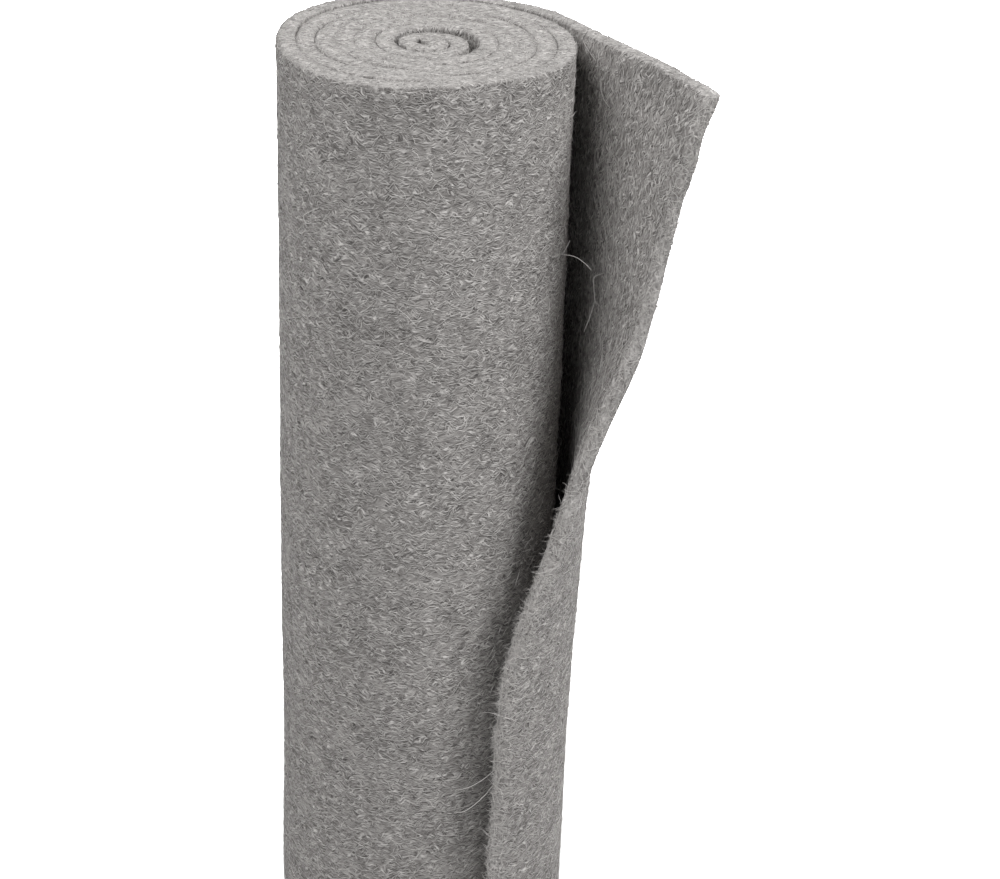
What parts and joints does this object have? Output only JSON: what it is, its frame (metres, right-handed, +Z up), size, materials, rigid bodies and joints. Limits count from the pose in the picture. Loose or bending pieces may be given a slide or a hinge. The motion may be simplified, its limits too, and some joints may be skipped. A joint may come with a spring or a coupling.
{
  "type": "roll of felt",
  "caption": "Length of thick grey felt wound round its own flattened core and stood on end, with the upper part of its free end standing away from the roll.",
  "frame": {"origin": "on the roll's axis, on the flat lower end that it stands on", "axes": "+Z up the roll's axis, +X and -Y towards the loose end, -Y towards the viewer of the picture"},
  "size_m": [0.1593, 0.1145, 0.5],
  "materials": {
    "felt": "matte, hairy grey felt"
  },
  "bodies": {
    "root": {"felt": "felt"}
  },
  "joints": []
}
